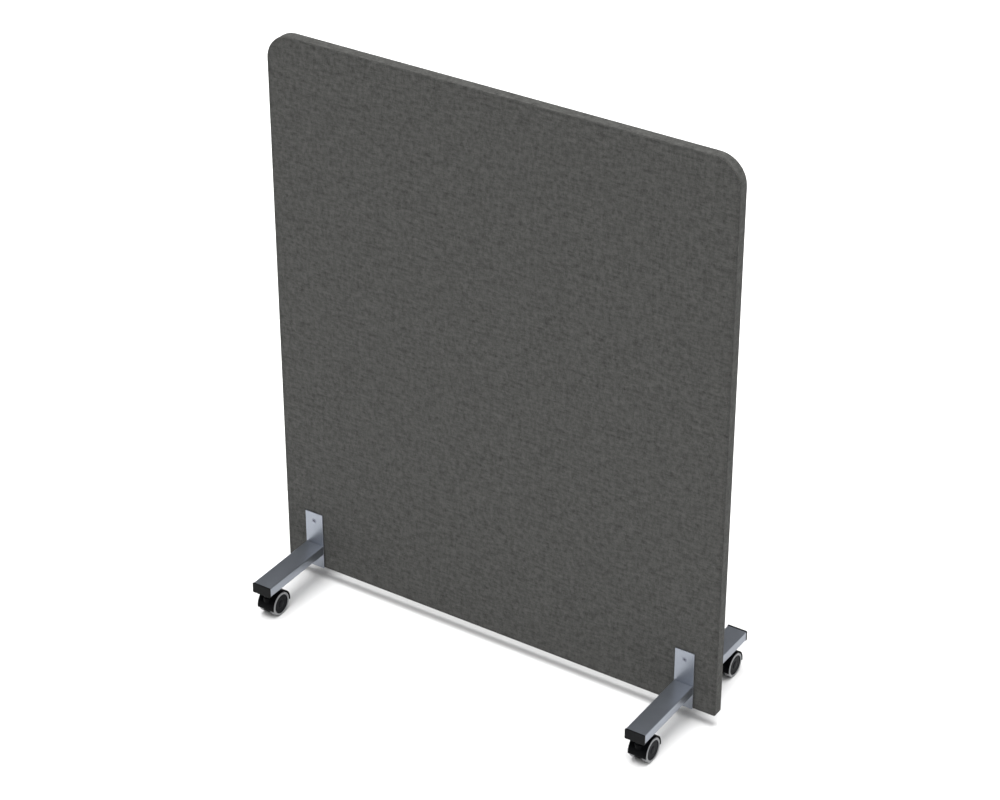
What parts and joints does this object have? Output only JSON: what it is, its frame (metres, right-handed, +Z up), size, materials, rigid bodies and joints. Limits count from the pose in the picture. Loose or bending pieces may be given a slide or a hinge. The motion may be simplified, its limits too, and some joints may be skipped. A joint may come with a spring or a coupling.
{
  "type": "mobile partition wall",
  "caption": "Free-standing fabric-covered acoustic screen with rounded top corners, bolted between two tube feet that roll on hooded twin-wheel swivel castors.",
  "frame": {"origin": "on the floor, under the middle of the panel", "axes": "+X along the panel, -Y out of its front face, +Z up"},
  "size_m": [1.2, 0.473, 1.435],
  "materials": {
    "grey_fabric": "woven melange upholstery cloth, matt",
    "felt_padding": "needled felt padding under the cloth",
    "frame_wood": "planed softwood, unfinished, inside the panel",
    "acoustic_core": "pressed fibre sound-absorbing board, inside the panel",
    "silver_coat": "silver-grey powder coat on steel, satin",
    "black_plastic": "moulded black nylon, fine texture",
    "grey_tyre": "soft light-grey polyurethane tread",
    "zinc_steel": "bright zinc-plated steel"
  },
  "bodies": {
    "screen": {"front_fabric": "grey_fabric", "rear_fabric": "grey_fabric", "edge_band": "grey_fabric", "bottom_strip": "grey_fabric", "front_felt": "felt_padding", "rear_felt": "felt_padding", "top_rail": "frame_wood", "bottom_rail": "frame_wood", "left_stile": "frame_wood", "right_stile": "frame_wood", "acoustic_core": "acoustic_core", "front_left_foot_plate": "silver_coat", "front_left_foot_tube": "silver_coat", "front_left_tube_cap": "black_plastic", "front_left_castor_stem": "zinc_steel", "front_right_foot_plate": "silver_coat", "front_right_foot_tube": "silver_coat", "front_right_tube_cap": "black_plastic", "front_right_castor_stem": "zinc_steel", "rear_left_foot_plate": "silver_coat", "rear_left_foot_tube": "silver_coat", "rear_left_tube_cap": "black_plastic", "rear_left_castor_stem": "zinc_steel", "rear_right_foot_plate": "silver_coat", "rear_right_foot_tube": "silver_coat", "rear_right_tube_cap": "black_plastic", "rear_right_castor_stem": "zinc_steel", "left_lower_bolt": "zinc_steel", "left_lower_sleeve_nut": "zinc_steel", "left_upper_bolt": "zinc_steel", "left_upper_sleeve_nut": "zinc_steel", "right_lower_bolt": "zinc_steel", "right_lower_sleeve_nut": "zinc_steel", "right_upper_bolt": "zinc_steel", "right_upper_sleeve_nut": "zinc_steel"},
    "front_left_castor": {"front_left_castor_housing": "black_plastic", "front_left_castor_axle": "zinc_steel"},
    "front_left_outer_wheel": {"front_left_outer_wheel_hub": "black_plastic", "front_left_outer_tyre": "grey_tyre"},
    "front_left_inner_wheel": {"front_left_inner_wheel_hub": "black_plastic", "front_left_inner_tyre": "grey_tyre"},
    "front_right_castor": {"front_right_castor_housing": "black_plastic", "front_right_castor_axle": "zinc_steel"},
    "front_right_outer_wheel": {"front_right_outer_wheel_hub": "black_plastic", "front_right_outer_tyre": "grey_tyre"},
    "front_right_inner_wheel": {"front_right_inner_wheel_hub": "black_plastic", "front_right_inner_tyre": "grey_tyre"},
    "rear_left_castor": {"rear_left_castor_housing": "black_plastic", "rear_left_castor_axle": "zinc_steel"},
    "rear_left_outer_wheel": {"rear_left_outer_wheel_hub": "black_plastic", "rear_left_outer_tyre": "grey_tyre"},
    "rear_left_inner_wheel": {"rear_left_inner_wheel_hub": "black_plastic", "rear_left_inner_tyre": "grey_tyre"},
    "rear_right_castor": {"rear_right_castor_housing": "black_plastic", "rear_right_castor_axle": "zinc_steel"},
    "rear_right_outer_wheel": {"rear_right_outer_wheel_hub": "black_plastic", "rear_right_outer_tyre": "grey_tyre"},
    "rear_right_inner_wheel": {"rear_right_inner_wheel_hub": "black_plastic", "rear_right_inner_tyre": "grey_tyre"}
  },
  "joints": [
    {"name": "front_left_castor_swivel", "type": "hinge", "parent": "screen", "child": "front_left_castor", "pos_m": [-0.518, -0.2115, 0.066], "axis": [0, 0, 1], "continuous": true},
    {"name": "front_left_outer_wheel_spin", "type": "hinge", "parent": "front_left_castor", "child": "front_left_outer_wheel", "pos_m": [-0.534, -0.1895, 0.03], "axis": [1, 0, 0], "continuous": true},
    {"name": "front_left_inner_wheel_spin", "type": "hinge", "parent": "front_left_castor", "child": "front_left_inner_wheel", "pos_m": [-0.502, -0.1895, 0.03], "axis": [1, 0, 0], "continuous": true},
    {"name": "front_right_castor_swivel", "type": "hinge", "parent": "screen", "child": "front_right_castor", "pos_m": [0.518, -0.2115, 0.066], "axis": [0, 0, 1], "continuous": true},
    {"name": "front_right_outer_wheel_spin", "type": "hinge", "parent": "front_right_castor", "child": "front_right_outer_wheel", "pos_m": [0.534, -0.1895, 0.03], "axis": [1, 0, 0], "continuous": true},
    {"name": "front_right_inner_wheel_spin", "type": "hinge", "parent": "front_right_castor", "child": "front_right_inner_wheel", "pos_m": [0.502, -0.1895, 0.03], "axis": [1, 0, 0], "continuous": true},
    {"name": "rear_left_castor_swivel", "type": "hinge", "parent": "screen", "child": "rear_left_castor", "pos_m": [-0.518, 0.2115, 0.066], "axis": [0, 0, 1], "continuous": true},
    {"name": "rear_left_outer_wheel_spin", "type": "hinge", "parent": "rear_left_castor", "child": "rear_left_outer_wheel", "pos_m": [-0.534, 0.1895, 0.03], "axis": [1, 0, 0], "continuous": true},
    {"name": "rear_left_inner_wheel_spin", "type": "hinge", "parent": "rear_left_castor", "child": "rear_left_inner_wheel", "pos_m": [-0.502, 0.1895, 0.03], "axis": [1, 0, 0], "continuous": true},
    {"name": "rear_right_castor_swivel", "type": "hinge", "parent": "screen", "child": "rear_right_castor", "pos_m": [0.518, 0.2115, 0.066], "axis": [0, 0, 1], "continuous": true},
    {"name": "rear_right_outer_wheel_spin", "type": "hinge", "parent": "rear_right_castor", "child": "rear_right_outer_wheel", "pos_m": [0.534, 0.1895, 0.03], "axis": [1, 0, 0], "continuous": true},
    {"name": "rear_right_inner_wheel_spin", "type": "hinge", "parent": "rear_right_castor", "child": "rear_right_inner_wheel", "pos_m": [0.502, 0.1895, 0.03], "axis": [1, 0, 0], "continuous": true}
  ]
}
